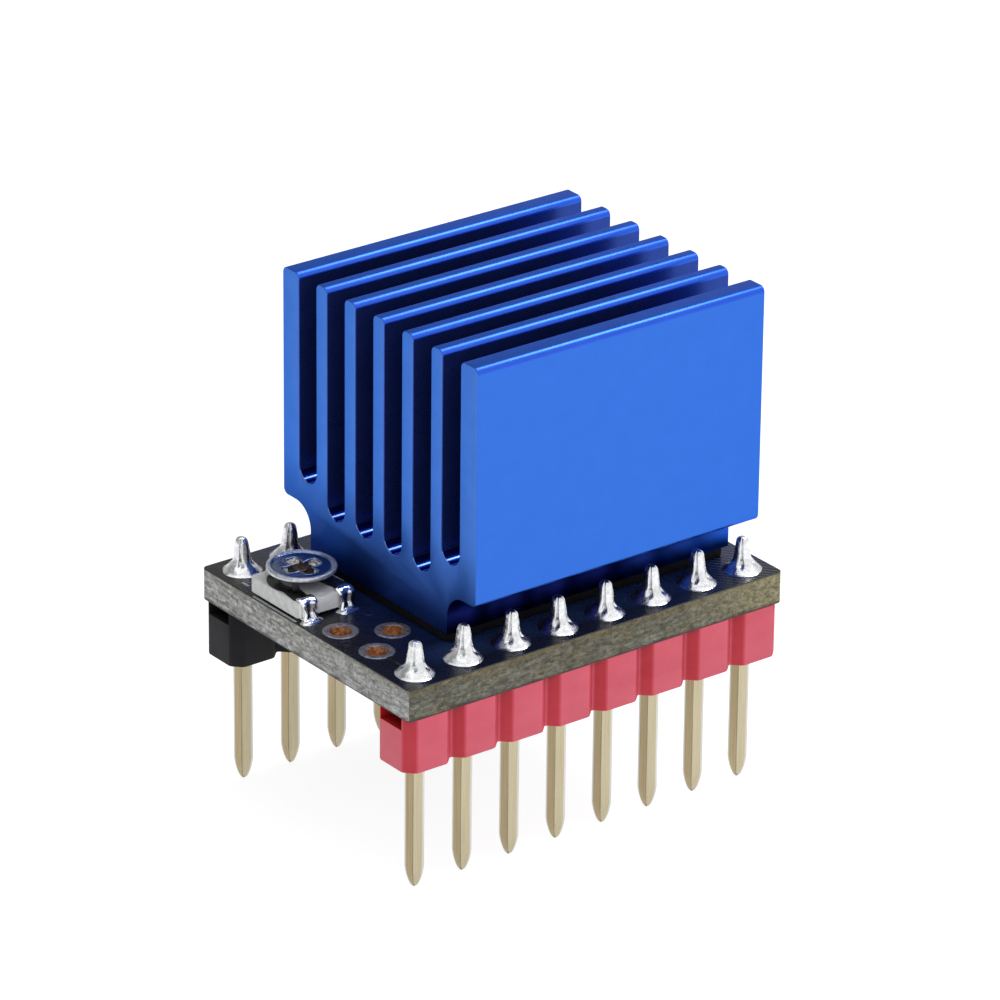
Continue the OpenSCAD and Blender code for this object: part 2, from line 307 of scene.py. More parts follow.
def laminate(name, dark, mid, pale, along, olive):
    """Cut edge of the laminate: torn bundles of glass and specks of resin, browner near the top."""
    dark, mid, pale = srgb(*dark), srgb(*mid), srgb(*pale)
    made = Finish(name, "board_mask", IOR=1.5)
    run = (1.3, 6, 6.5) if along == "X" else (6, 1.3, 6.5)
    speck = (3.6, 7, 5) if along == "X" else (7, 3.6, 5)
    streak = made.spread(made.noise(run, 6.0, 0.72), 0.4, 0.62)
    grains = made.spread(made.noise(speck, 5.0, 0.8, seed=5), 0.4, 0.62)
    body = made.mix(streak, mid, pale)
    body = made.mix(made.times(grains, 0.75), body, dark)
    patches = made.spread(made.noise((0.5, 0.5, 1.2), 4.0, 0.6, seed=11), 0.4, 0.62)
    level = made.along("Z", UNDER, TOP)
    wander = made.spread(made.noise((0.8, 0.8, 2), 3.0, seed=8), 0.3, 0.7, -0.16, 0.16)
    upper = made.spread(made.plus(level, wander), 0.62, 0.86)
    browned = made.maths("MAXIMUM", upper, made.times(patches, 0.6))
    browned = made.times(browned, olive)
    resin = made.mix(grains, srgb(122, 110, 70), srgb(52, 48, 30))
    toned = made.mix(browned, body, resin)
    # Paler and yellower towards the right end of the long edge.
    if along == "X":
        paler_yellow_tone = made.mix(grains, srgb(176, 166, 124), srgb(92, 86, 60))
        to_right = made.along("X", 4.5, 9.5, 0.0, 0.75)
        toned = made.mix(to_right, toned, paler_yellow_tone)
    lowest = made.spread(made.plus(level, made.times(wander, 0.5)), 0.0, 0.12, 0.85, 0.0)
    made.colour(made.mix(lowest, toned, srgb(34, 34, 30)))
    made.rough(made.spread(streak, 0.0, 1.0, 0.75, 0.5))
    made.bump(made.plus(streak, grains), 0.035)
    return made


def plated_pin(name, low, high, edge, rough):
    """Thin gold over nickel, drawn along the pin, paler where it has worn."""
    low, high, edge = srgb(*low), srgb(*high), srgb(*edge)
    made = Finish(name, "pin_plating", Metallic=1.0)
    drawn = made.spread(made.noise((16, 16, 0.35), 4.0), 0.3, 0.7)
    body = made.mix(drawn, low, high)
    worn = made.spread(made.noise((3, 3, 1.2), 5.0, 0.7, seed=3), 0.58, 0.72, 0.0, 0.5)
    made.colour(made.mix(worn, body, edge))
    made.rough(made.spread(drawn, 0.0, 1.0, *rough))
    made.bump(made.noise((22, 22, 0.8), 3.0, seed=6), 0.006)
    return made


def copper_finish():
    """Copper lining of an open hole: tarnished low down, with tin left in patches round the rim."""
    made = Finish("copper_lining", "copper", Metallic=0.6, Roughness=0.4)
    tarnish = made.spread(made.noise(5, 5.0, 0.7), 0.36, 0.62)
    body = made.mix(tarnish, srgb(112, 70, 40), srgb(240, 172, 112))
    tinned = made.spread(made.noise((4, 4, 7), 4.0, 0.65, seed=4), 0.5, 0.6)
    rim = made.along("Z", TOP - 0.34, TOP - 0.06, 0.0, 0.9)
    made.colour(made.mix(made.times(tinned, rim), body, srgb(214, 206, 194)))
    made.bump(made.noise(6, 4.0, seed=8), 0.04)
    return made


def solder_finish():
    """Bright tin with the faint grain of a hand-made joint."""
    made = Finish("solder_bright", "solder", Metallic=1.0)
    cells = made.spread(made.noise(4, 5.0, 0.65), 0.36, 0.62)
    made.colour(made.mix(cells, srgb(206, 207, 209), srgb(232, 233, 235)))
    made.rough(made.spread(made.noise(3, 3.0, seed=5), 0.3, 0.7, 0.2, 0.3))
    made.bump(made.noise(5, 4.0, 0.6, seed=2), 0.022)
    return made


FIN_SIDE = anodised("anodised_drawn", (41, 100, 200), (43, 102, 203), (0.24, 0.26), 0.25)
FIN_END = anodised("sawn_end_painted_shade_low", (74, 122, 206), (78, 126, 211), (0.48, 0.52), 0.05)
# Painted shade: the sawn end face darkens towards its foot, a painted reflection of the dark board below.
FIN_END.graded("Z", SINK_LOW.z + 4.4, SINK_LOW.z + 0.6, (10, 16, 96), 0.78)
# Painted shade: the groove walls get a darker, duller copy of the anodising.
FIN_GROOVE_SHADE = anodised("groove_wall_painted_shade", (46, 66, 138), (50, 71, 148), (0.26, 0.3), metal=0.86, shine=0.1)
# Painted light: the front rounding of each fin top gets a copy of the anodising whose colour is set to its
# lit band.
FIN_ROUNDING_LIT = anodised("fin_tip_painted_light", (44, 88, 204), (48, 92, 210), (0.3, 0.34), 0.1, 0.22)
# Painted highlight: the slot floors get a paler, glossier copy so the lamp's line on them shows brighter.
SLOT_FLOOR_LIT = anodised("slot_floor_painted_highlight", (66, 112, 200), (70, 116, 206), (0.13, 0.16), 1.0, 0.1)
# Painted light: the flat fin tops get a paler, less metallic copy of the anodising.
FIN_FLAT_LIT = anodised("fin_top_painted_light", (48, 88, 176), (52, 92, 181), (0.22, 0.26), metal=0.62, shine=0.2)
# Painted shade: the foot under the ledges gets a dark copy of the anodising.
SINK_FOOT_SHADE_AND_LIGHT = anodised("sink_foot_painted_shade_and_light", (20, 27, 92), (26, 34, 108), (0.3, 0.36))
# Painted light: the foot lightens towards its right end.
SINK_FOOT_SHADE_AND_LIGHT.graded("X", 2.5, 7.4, (44, 84, 186), 0.9)
# Painted shadow: the foot goes near black along its lowest edge.
SINK_FOOT_SHADE_AND_LIGHT.graded("Z", SINK_LOW.z + 0.7, SINK_LOW.z + 0.2, (0, 0, 2), 0.85)
RED = plastic("red_moulding", "red_insulator", (188, 65, 84), (196, 74, 93), (0.4, 0.5))
# Painted shade: chamfers, rounded corners, the chamfers turned away from the light and the channel get
# darker copies of the moulding.
RED_CHAMFER_SHADE = plastic(
    "red_chamfer_painted_shade", "red_insulator", (170, 42, 55), (178, 49, 62), (0.45, 0.55), 0.25
)
RED_CORNER_SHADE = plastic("red_corner_painted_shade", "red_insulator", (180, 52, 68), (188, 60, 76), (0.42, 0.52), 0.35)
RED_FAR_CHAMFER_SHADE = plastic("red_far_chamfer_painted_shade", "red_insulator", (182, 58, 74), (190, 66, 82), (0.5, 0.6), 0.2)
RED_CHANNEL_SHADE = plastic("red_channel_painted_shade", "red_insulator", (165, 14, 17), (185, 22, 22), (0.5, 0.6))
BLACK = plastic("black_moulding", "black_insulator", (28, 28, 31), (35, 35, 38), (0.5, 0.6), 0.12)
# Painted shade: the black moulding's corners, chamfers and channel get darker copies.
BLACK_CORNER_SHADE = plastic(
    "black_corner_painted_shade", "black_insulator", (26, 26, 29), (33, 33, 36), (0.5, 0.6), 0.11
)
BLACK_CHAMFER_SHADE = plastic(
    "black_chamfer_painted_shade", "black_insulator", (24, 24, 28), (31, 31, 34), (0.5, 0.6), 0.1
)
BLACK_CHANNEL_SHADE = plastic("black_channel_painted_shade", "black_insulator", (8, 8, 9), (13, 13, 14), (0.5, 0.6))
MASK = mask_finish()
MASK_EDGE = mottled("board_mask_edge", "board_mask", (22, 24, 26), (44, 42, 34), (0.4, 0.6), 3, 0.02)
LAMINATE_END = laminate("laminate_end", (78, 78, 73), (152, 153, 150), (232, 234, 236), "Y", 0.35)
LAMINATE_SIDE = laminate("laminate_side", (36, 35, 27), (88, 87, 76), (146, 146, 130), "X", 0.8)
COPPER = copper_finish()
RING = mottled(
    "pad_ring_tinned", "copper", (92, 92, 104), (176, 172, 176), (0.3, 0.5), 6, 0.03, Metallic=0.7
)
SOLDER = solder_finish()
# Painted light and shade: the pins' ±Y faces get a lit copy of the plating, the ±X faces a shaded copy, the
# -X -Y corner a darker copy and the outline corners a pale painted highlight.
PIN_LIT_FACES = plated_pin("pin_lit_faces_gold", (176, 166, 136), (193, 183, 155), (188, 183, 168), (0.22, 0.34))
PIN_SHADED_FACES = plated_pin("pin_shaded_faces_gold", (152, 135, 101), (177, 161, 126), (168, 160, 140), (0.24, 0.36))
PIN_SHADED_CORNER = plated_pin("pin_shaded_corner_gold", (112, 104, 84), (150, 142, 122), (160, 156, 144), (0.3, 0.42))
PIN_OUTLINE_HIGHLIGHT = plated_pin("pin_outline_painted_highlight", (188, 188, 182), (214, 214, 210), (206, 206, 200), (0.3, 0.42))
# The adhesive pad is real; its near-black colour is partly painted shade of the gap under the heat sink.
PAD = mottled(
    "rubber_pad_with_painted_shade", "adhesive_pad", (7, 7, 9), (14, 14, 17), (0.7, 0.85), (3, 3, 6), 0.03,
    Specular_IOR_Level=0.2,
)
CERAMIC = mottled(
    "ceramic_glazed", "ceramic_body", (222, 223, 223), (240, 241, 241), (0.45, 0.6), 2, 0.02,
    fine=12, IOR=1.6,
)
CERAMIC_SHADE = mottled(
    "ceramic_glazed_shaded", "ceramic_body", (176, 177, 177), (196, 197, 197), (0.5, 0.65), 3, 0.03,
    fine=12, IOR=1.6,
)
FILM = mottled("resistive_ink", "resistive_film", (14, 14, 15), (30, 30, 32), (0.25, 0.4), 7, 0.02)
TIN = mottled(
    "tinned_strip", "tinned_sheet", (212, 214, 217), (242, 243, 245), (0.12, 0.2), 4, 0.012,
    Metallic=1.0,
)
BRASS = mottled(
    "rivet_worn_brass", "rivet_brass", (70, 54, 36), (120, 98, 70), (0.3, 0.45), 5, 0.02,
    Metallic=1.0,
)
# Painted reflection: the plated disc's colour is tinted slate blue for the blue heat sink it reflects.
ROTOR_METAL = mottled(
    "rotor_plated", "rotor_metal", (98, 113, 146), (126, 139, 168), (0.16, 0.28), 3, 0.016,
    fine=9, Metallic=1.0,
)
ROTOR_SLOT = mottled(
    "rotor_slot_shaded", "rotor_metal", (46, 36, 26), (74, 58, 42), (0.35, 0.5), 4, 0.02,
    Metallic=0.7,
)
# Paler metal on the disc's rim.
ROTOR_RIM = mottled(
    "rotor_rim_pale", "rotor_metal", (150, 156, 168), (208, 212, 218), (0.25, 0.4), 5, 0.02,
    Metallic=0.75,
)
# Painted shade: the disc's underside and its tab get a near-black copy of the metal.
ROTOR_SHADED_UNDERSIDE = mottled(
    "disc_underside_painted_shade", "rotor_metal", (20, 20, 22), (44, 44, 48), (0.35, 0.5), 5, 0.02, Metallic=0.6
)
# Painted highlight: pale patches at the ends of the cross's arms stand for glints on the recess walls.
ROTOR_GLINT = mottled(
    "disc_slot_painted_glint", "rotor_metal", (62, 52, 42), (252, 252, 248), (0.35, 0.5), 6, 0.04,
    Metallic=0.2,
)
RESIN = mottled("chip_epoxy", "chip_resin", (22, 22, 24), (34, 34, 36), (0.5, 0.65), 2, 0.02, fine=14)
CAP_BODY = mottled(
    "capacitor_tan", "capacitor_ceramic", (150, 118, 88), (176, 144, 112), (0.4, 0.5), 2, 0.02
)
RES_BODY = mottled("resistor_black", "resistor_body", (18, 18, 20), (32, 32, 35), (0.35, 0.5), 2, 0.01)
RES_SIDE = mottled(
    "resistor_alumina", "resistor_body", (196, 196, 190), (224, 224, 218), (0.5, 0.6), 3, 0.02
)
MARK = mottled("silkscreen", "board_mask", (128, 130, 132), (176, 178, 180), (0.5, 0.65), 8, 0.01)


# ---------------------------------------------------------------- mesh builders, in millimetres
def make(name, points, faces, finishes, choices=None, smooth=40.0):
    """A mesh object from points in millimetres. choices holds each face's place in finishes."""
    mesh = bpy.data.meshes.new(name)
    mesh.from_pydata([Vector(p) * MM for p in points], [], faces)
    for finish in finishes:
        mesh.materials.append(finish.mat)
    if choices:
        mesh.polygons.foreach_set("material_index", choices)
    work = bmesh.new()
    work.from_mesh(mesh)
    bmesh.ops.remove_doubles(work, verts=work.verts, dist=1e-8)
    bmesh.ops.recalc_face_normals(work, faces=work.faces)
    work.to_mesh(mesh)
    work.free()
    mesh.shade_smooth()
    mesh.set_sharp_from_angle(angle=math.radians(smooth))
    made = bpy.data.objects.new(name, mesh)
    bpy.context.scene.collection.objects.link(made)
    return made


def seat(made, *nodes, body=BODY):
    """The object rides on its body and stands for these CAD nodes."""
    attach(made, body)
    if nodes:
        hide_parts(*nodes)
    return made


def piece(name, shells, finishes, *nodes, smooth=35, body=BODY, choose=None):
    """One seated object from its shells. choose gives a face its finish, as in repaint()."""
    points, faces, choices = joined(shells)
    made = make(name, points, faces, finishes, choices, smooth)
    if choose:
        repaint(made, choose)
    return seat(made, *nodes, body=body)


def arc(centre, radius, start, end, steps=8):
    """Points on an arc, with its angles in degrees."""
    out = []
    for k in range(steps + 1):
        a = math.radians(start + (end - start) * k / steps)
        out.append((centre[0] + radius * math.cos(a), centre[1] + radius * math.sin(a)))
    return out


def inset(outline, amount):
    """A closed outline with each corner moved towards the side on its left by amount."""
    out = []
    count = len(outline)
    for i in range(count):
        before = Vector(outline[i - 1])
        here = Vector(outline[i])
        after = Vector(outline[(i + 1) % count])
        into = (here - before).normalized()
        away = (after - here).normalized()
        side = Vector((-into.y - away.y, into.x + away.x))
        moved = here + side * (2 * amount / max(side.length_squared, 0.4))
        out.append((moved.x, moved.y))
    return out


def rounding(bevel, steps):
    """Pairs of depth and inset that round an edge off, from the end face inwards."""
    out = []
    for k in range(steps + 1):
        a = PI / 2 * k / steps
        out.append((bevel * (1 - math.cos(a)), bevel * (1 - math.sin(a))))
    return out


# Where an outline's u and v and its depth w lie in x, y and z, by the axis it is drawn out along.
AXES = {
    "X": lambda u, v, w: (w, u, v),
    "Y": lambda u, v, w: (v, w, u),
    "Z": lambda u, v, w: (u, v, w),
}


def prism(outline, low, high, axis="Z", bevel=0.05, steps=2, bottom=None):
    """Points and faces of an outline drawn out along an axis, with rounded ends."""
    top_rounding = rounding(bevel, steps)
    low_rounding = top_rounding if bottom is None else rounding(bottom, steps)
    levels = [(low + d, i) for d, i in low_rounding]
    levels += [(high - d, i) for d, i in reversed(top_rounding)]
    place = AXES[axis]
    return rings_shell([[place(u, v, level) for u, v in inset(outline, i)] for level, i in levels])


def joined(shells):
    """Several shells as one. A shell is its points, its faces and its finish's place, 0 if left out."""
    points, faces, choices = [], [], []
    for shell_points, shell_faces, *place in shells:
        start = len(points)
        points += shell_points
        faces += [tuple(i + start for i in f) for f in shell_faces]
        choices += (place or [0]) * len(shell_faces)
    return points, faces, choices


def rings_shell(rings, close=True):
    """Faces between rings of equal length, and a cap at each end when close is true."""
    n = len(rings[0])
    points = [p for ring in rings for p in ring]
    faces = []
    for k in range(len(rings) - 1):
        for i in range(n):
            j = (i + 1) % n
            faces.append((k * n + i, k * n + j, (k + 1) * n + j, (k + 1) * n + i))
    if close:
        faces.append(tuple(reversed(range(n))))
        faces.append(tuple(range(len(points) - n, len(points))))
    return points, faces


def rounded_box(length, width, radius, steps=5):
    """Outline of a rectangle with rounded corners, about the origin, counter-clockwise."""
    x, y = length / 2 - radius, width / 2 - radius
    out = []
    for cx, cy, start in ((x, -y, -90), (x, y, 0), (-x, y, 90), (-x, -y, 180)):
        out += arc((cx, cy), radius, start, start + 90, steps)
    return out


def shifted(outline, x, y, turn=0.0):
    """An outline turned about the origin, in degrees, and then moved."""
    c, s = math.cos(math.radians(turn)), math.sin(math.radians(turn))
    return [(x + c * u - s * v, y + s * u + c * v) for u, v in outline]


def footprint(node, radius, steps=5):
    """Outline of a node's box seen from above, with rounded corners."""
    low, high = box_mm(node)
    middle = centre_mm(node)
    return shifted(rounded_box(high.x - low.x, high.y - low.y, radius, steps), middle.x, middle.y)


def repaint(made, choose):
    """Sets each face's place in the finishes from its normal and its centre in millimetres."""
    for polygon in made.data.polygons:
        polygon.material_index = choose(polygon.normal, polygon.center / MM)


# ---------------------------------------------------------------- heat sink
def sink_outline():
    """Cross-section of the heat sink in Y and Z, counter-clockwise seen from +X."""
    base, top = SINK_LOW.z, SINK_HIGH.z
    half = SINK_HIGH.y
    pitch = GAP + FIN
    out = [(-FOOT_HALF, base), (FOOT_HALF, base)]
    out += arc((FOOT_HALF + COVE_R, base + LEDGE_H - COVE_R), COVE_R, 180, 90, 10)
    out += arc((half - LEDGE_R, base + LEDGE_H + LEDGE_R), LEDGE_R, -90, 0, 6)
    edge = half
    for i in reversed(range(SLOTS)):
        slot_y = (i - (SLOTS - 1) / 2) * pitch
        floor = base + FLOOR_H + GAP / 2 + (OUTER_STEP if i in (0, SLOTS - 1) else 0.0)
        near = slot_y + GAP / 2
        out += arc((edge - TIP_R, top - TIP_R), TIP_R, 0, 90, 8)
        out += arc((near + TIP_R, top - TIP_R), TIP_R, 90, 180, 8)
        out += arc((slot_y, floor), GAP / 2, 0, -180, 16)
        edge = slot_y - GAP / 2
    out += arc((edge - TIP_R, top - TIP_R), TIP_R, 0, 90, 8)
    out += arc((-half + TIP_R, top - TIP_R), TIP_R, 90, 180, 8)
    step = base + LEDGE_H - FRONT_DROP
    out += arc((-half + LEDGE_R, step + LEDGE_R), LEDGE_R, 180, 270, 6)
    out += arc((-FOOT_HALF - COVE_R, step - COVE_R), COVE_R, 90, 0, 10)
    return out


def heat_sink():
    finishes = [FIN_SIDE, FIN_END, FIN_GROOVE_SHADE, FIN_ROUNDING_LIT, SINK_FOOT_SHADE_AND_LIGHT, FIN_FLAT_LIT, SLOT_FLOOR_LIT]
    ledge = SINK_LOW.z + LEDGE_H + 0.05

    # Faces take lit and shaded copies of the anodising by where they lie: painted shade on groove walls and
    # the foot, painted light on fin tops, tip roundings and slot floors.
    def choose(normal, centre):
        if abs(normal.x) > 0.95:
            return 1
        if centre.z < ledge - (FRONT_DROP if centre.y < 0 else 0.0):
            return 4
        if centre.z > SINK_HIGH.z - TIP_R:
            return 3 if normal.y < -0.15 else 5
        if normal.z > 0.3:
            return 6
        return 2 if abs(centre.y) < SINK_HIGH.y - 0.1 else 0

    shell = prism(sink_outline(), SINK_LOW.x, SINK_HIGH.x, "X", 0.05, 3)
    piece("finned_heat_sink", [shell], finishes, "heatsink", smooth=50, choose=choose)


def pad():
    low, high = box_mm("thermal_pad")
    shell = prism(footprint("thermal_pad", 0.25), low.z, high.z, "Z", 0.08, 3)
    piece("thermal_adhesive_pad", [shell], [PAD], "thermal_pad", smooth=40)


# ---------------------------------------------------------------- circuit board
def plate(outer, holes, levels):
    """A flat plate with holes. levels holds pairs of height and inset, from the top down."""
    loops = [outer] + holes
    work = bmesh.new()
    rings = []
    for height, amount in levels:
        made = []
        for loop in loops:
            made.append([work.verts.new((u, v, height)) for u, v in inset(loop, amount)])
        rings.append(made)
    for level in (0, -1):
        edges = []
        for ring in rings[level]:
            for i, vert in enumerate(ring):
                edges.append(work.edges.new((vert, ring[(i + 1) % len(ring)])))
        bmesh.ops.triangle_fill(work, use_beauty=True, use_dissolve=False, edges=edges)
    for upper, lower in zip(rings, rings[1:]):
        for a, b in zip(upper, lower):
            for i in range(len(a)):
                j = (i + 1) % len(a)
                work.faces.new((a[i], b[i], b[j], a[j]))
    work.verts.index_update()
    points = [tuple(v.co) for v in work.verts]
    faces = [tuple(v.index for v in f.verts) for f in work.faces]
    work.free()
    return points, faces


def circle_angles(count):
    return [2 * PI * k / count for k in range(count)]


def ring(x, y, radius, height, count):
    """Points of a level circle."""
    return [(x + radius * math.cos(a), y + radius * math.sin(a), height) for a in circle_angles(count)]


def hole(centre, radius, steps=40):
    """Outline of a round hole, clockwise."""
    around = [-a for a in circle_angles(steps)]
    return [(centre.x + radius * math.cos(a), centre.y + radius * math.sin(a)) for a in around]


def test_centres():
    return [centre_mm(f"test_pad_{i}") for i in (1, 2, 3)]


def board():
    outer = rounded_box(BOARD_HIGH.x - BOARD_LOW.x, BOARD_HIGH.y - BOARD_LOW.y, BOARD_CORNER, 6)
    tests = test_centres()
    holes = [hole(centre, TEST_BORE) for centre in tests]
    for i in range(1, PINS + 1):
        for side in ("front", "rear"):
            holes.append(hole(centre_mm(f"{side}_pin_{i}"), PIN_HOLE, 24))
    skin, chamfer = 0.05, 0.02
    levels = [(TOP, chamfer), (TOP - chamfer, 0.0), (TOP - skin, 0.0)]
    levels += [(UNDER + skin, 0.0), (UNDER + chamfer, 0.0), (UNDER, chamfer)]

    def choose(normal, centre):
        if abs(normal.z) > 0.9:
            return 0
        if min((Vector((c.x, c.y)) - centre.xy).length for c in tests) < TEST_BORE + 0.1:
            return 4
        edge_on = abs(centre.x) > BOARD_HIGH.x - 0.3 or abs(centre.y) > BOARD_HIGH.y - 0.3
        if not edge_on or centre.z > TOP - skin or centre.z < UNDER + skin:
            return 1
        return 2 if abs(normal.x) > 0.75 else 3

    finishes = [MASK, MASK_EDGE, LAMINATE_END, LAMINATE_SIDE, COPPER]
    shell = plate(outer, holes, levels)
    piece("board_laminate", [shell], finishes, "circuit_board", smooth=30, choose=choose)


def strip_outline(path, width):
    """Outline of a line of a given width through flat points, with squared ends."""
    left, right = [], []
    for i, point in enumerate(path):
        here = Vector(point)
        before = (here - Vector(path[i - 1])).normalized() if i else None
        after = (Vector(path[i + 1]) - here).normalized() if i < len(path) - 1 else None
        along = before if after is None else after if before is None else (before + after).normalized()
        reach = width / 2 / (1.0 if before is None or after is None else max(0.5, along.dot(after)))
        side = Vector((-along.y, along.x)) * reach
        left.append(tuple(here + side))
        right.append(tuple(here - side))
    return right + left[::-1]


def strips(name, finish, paths, width, low, high):
    bevel = min(0.02, (high - low) * 0.4)
    shells = [prism(strip_outline(path, width), low, high, "Z", bevel, 1) for path in paths]
    piece(name, shells, [finish], smooth=60)


TRACK_H = 0.03
SUNK = 0.01
VIA_PROFILE = ((0.3, -0.005), (0.29, 0.02), (0.22, 0.028), (0.13, 0.024), (0.08, 0.006), (0.02, 0.0))
VIAS = (
    (-6.95, -0.4), (-9.6, -2.4), (-7.7, -4.6), (-5.9, -5.4),
    (9.6, -3.2), (9.7, 3.1), (-6.7, 5.3), (9.65, 0.2),
)
PRINTED = (
    ((BOARD_LOW.x + 0.11, 0.67), (BOARD_LOW.x + 0.11, 3.85)),
    ((BOARD_LOW.x + 0.53, 4.78), (BOARD_LOW.x + 0.53, 5.28)),
    ((-8.07, 7.3), (-8.56, 5.76)),
    ((-5.34, 7.51), (-5.62, 6.44)),
)


def board_details():
    """Tracks that show as low ridges under the mask, plated-over vias and printed marks."""
    row = centre_mm("front_pin_1").y
    columns = [centre_mm(f"front_pin_{i}").x for i in range(1, PINS + 1)]
    above = [[(columns[0], row + 0.9), (columns[0], test_centres()[2].y - 0.75)]]
    for x in columns[2:]:
        for side in (1, -1):
            stub = ((0.55, 0.75), (1.1, 1.3), (1.1, 1.75))
            above.append([(x + across, side * (row + inwards)) for across, inwards in stub])
    strips("top_tracks", MASK, above, 0.22, TOP - SUNK, TOP + TRACK_H)
    chip_x = centre_mm("driver_chip").x
    start, corner, end = abs(row) - HEADER_SIDE / 2 - 0.15, 4.4, 2.6
    below = []
    for i, x in enumerate(columns):
        lead = chip_x + (i - (PINS - 1) / 2) * LEAD_PITCH
        turned_in = corner - min(1.6, abs(x - lead))
        for side in (-1, 1):
            points = ((x, start), (x, corner), (lead, turned_in), (lead, end))
            below.append([(across, side * reach) for across, reach in points])
    strips("bottom_tracks", MASK, below, 0.2, UNDER - TRACK_H, UNDER + SUNK)
    strips("printed_marks", MARK, PRINTED, 0.13, TOP - SUNK, TOP + 0.016)
    vias = []
    for x, y in VIAS:
        vias.append(rings_shell([ring(x, y, radius, TOP + rise, 28) for radius, rise in VIA_PROFILE]))
    piece("covered_vias", vias, [MASK], smooth=60)


def turned(profile, x, y, count=64):
    """A shell of revolution about a vertical axis, from pairs of radius and height, closed on itself."""
    rings = [ring(x, y, radius, height, count) for radius, height in profile]
    return rings_shell(rings + [rings[0]], close=False)


def test_rings():
    rim = 0.04
    profile = (
        (TEST_BORE, -SUNK), (TEST_RING, -SUNK), (TEST_RING, rim * 0.4), (TEST_RING - 0.03, rim - 0.006),
        (TEST_RING - 0.08, rim), (TEST_BORE + 0.06, rim), (TEST_BORE + 0.015, rim - 0.008),
        (TEST_BORE, rim * 0.3),
    )
    for i, centre in enumerate(test_centres(), 1):
        shells = []
        for face, way in ((TOP, 1), (UNDER, -1)):
            section = [(radius, face + way * rise) for radius, rise in profile]
            shells.append(turned(section, centre.x, centre.y))
        piece(f"test_pad_ring_{i}", shells, [RING], f"test_pad_{i}", smooth=40)


# ---------------------------------------------------------------- headers and pins
def header_outline(x_low, side):
    """Chain of blocks with chamfered corners seen from above, counter-clockwise."""
    pitch = (HEADER_HIGH.x - HEADER_LOW.x) / PINS
    half = side / 2
    out = []
    for i in range(PINS):
        left = x_low + i * pitch
        out += [(left + NOTCH, -half), (left + pitch - NOTCH, -half)]
        if i < PINS - 1:
            out.append((left + pitch, -half + NOTCH))
    right = x_low + PINS * pitch
    out += [(right, -half + NOTCH), (right, half - NOTCH)]
    for i in reversed(range(PINS)):
        left = x_low + i * pitch
        out += [(left + pitch - NOTCH, half), (left + NOTCH, half)]
        if i:
            out.append((left, half - NOTCH))
    out += [(x_low, half - NOTCH), (x_low, -half + NOTCH)]
    return out


def bend(before, here, after, radius, steps):
    """Points that round off the corner at here, from radius before it to radius after it."""
    here = Vector(here)
    start = here + (Vector(before) - here).normalized() * radius
    end = here + (Vector(after) - here).normalized() * radius
    shares = [k / steps for k in range(steps + 1)]
    return [tuple(start * (1 - t) ** 2 + here * 2 * t * (1 - t) + end * t ** 2) for t in shares]


def softened(outline, radius, steps=2):
    """An outline with each corner rounded off by radius along its two sides."""
    out = []
    for i, here in enumerate(outline):
        out += bend(outline[i - 1], here, outline[(i + 1) % len(outline)], radius, steps)
    return out


def cut(made, points, faces, finish):
    """Takes a shell away from an object. The new faces take the cutter's finish."""
    cutter = make("cutter", points, faces, [finish])
    modifier = made.modifiers.new("cut", "BOOLEAN")
    modifier.operation = "DIFFERENCE"
    modifier.solver = "EXACT"
    modifier.material_mode = "TRANSFER"
    modifier.object = cutter
    bpy.context.view_layer.update()
    shaped = made.evaluated_get(bpy.context.evaluated_depsgraph_get())
    mesh = bpy.data.meshes.new_from_object(shaped)
    made.modifiers.clear()
    old = made.data
    made.data = mesh
    bpy.data.meshes.remove(old)
    bpy.data.objects.remove(cutter)
    made.data.set_sharp_from_angle(angle=math.radians(35))


def header(side, flat, edge, deep, corner, crease):
    node = f"{side}_header_body"
    low, high = box_mm(node)
    middle = (low + high) / 2
    outline = shifted(softened(header_outline(low.x, HEADER_SIDE), HEADER_ROUND, 3), 0, middle.y)
    points, faces = prism(outline, low.z, high.z, "Z", 0.03, 2, bottom=0.07)
    made = make(f"{side}_header_moulding", points, faces, [flat, edge, deep, corner, crease], smooth=35)

    # Painted shade: chamfers take the darker chamfer copy, the chamfers facing +X and -Y a copy of their
    # own, and the rounded corners the corner copy.
    def choose(normal, _centre):
        skew = min(abs(normal.x), abs(normal.y))
        if abs(normal.z) > 0.5 or skew < 0.15:
            return 0
        if normal.x > 0.3 and normal.y < -0.3:
            return 4
        return 1 if skew > 0.6 else 3

    repaint(made, choose)
    past = 1.0
    channel = [(-CHANNEL_HALF, -CHANNEL_DEEP), (CHANNEL_HALF, -CHANNEL_DEEP)]
    channel += [(CHANNEL_HALF, past), (-CHANNEL_HALF, past)]
    points, faces = prism(shifted(channel, middle.y, high.z), low.x - past, high.x + past, "X", 0.0, 1)
    # The channel's walls take the painted shade of the channel finish.
    cut(made, points, faces, deep)
    seat(made, node)


def pin_section(half, crown, corner):
    """Outline of a drawn square wire: slightly crowned sides between flattened corners."""
    out = []
    steps = 6
    for quarter in range(4):
        for k in range(steps + 1):
            t = -1 + 2 * k / steps
            v = t * (half - corner)
            u = half - crown * t * t
            c, s = ((1, 0), (0, 1), (-1, 0), (0, -1))[quarter]
            out.append((c * u - s * v, s * u + c * v))
    return out


PIN_TIP = (
    (0.0, 0.035), (0.03, 0.075), (0.09, 0.115), (0.2, 0.165), (0.36, 0.215), (0.56, 0.262), (0.78, 0.298),
    (1.0, PIN_HALF),
)
PIN_TAIL = ((0.5, 0.19), (0.25, 0.14), (0.1, 0.1), (0.04, 0.05))


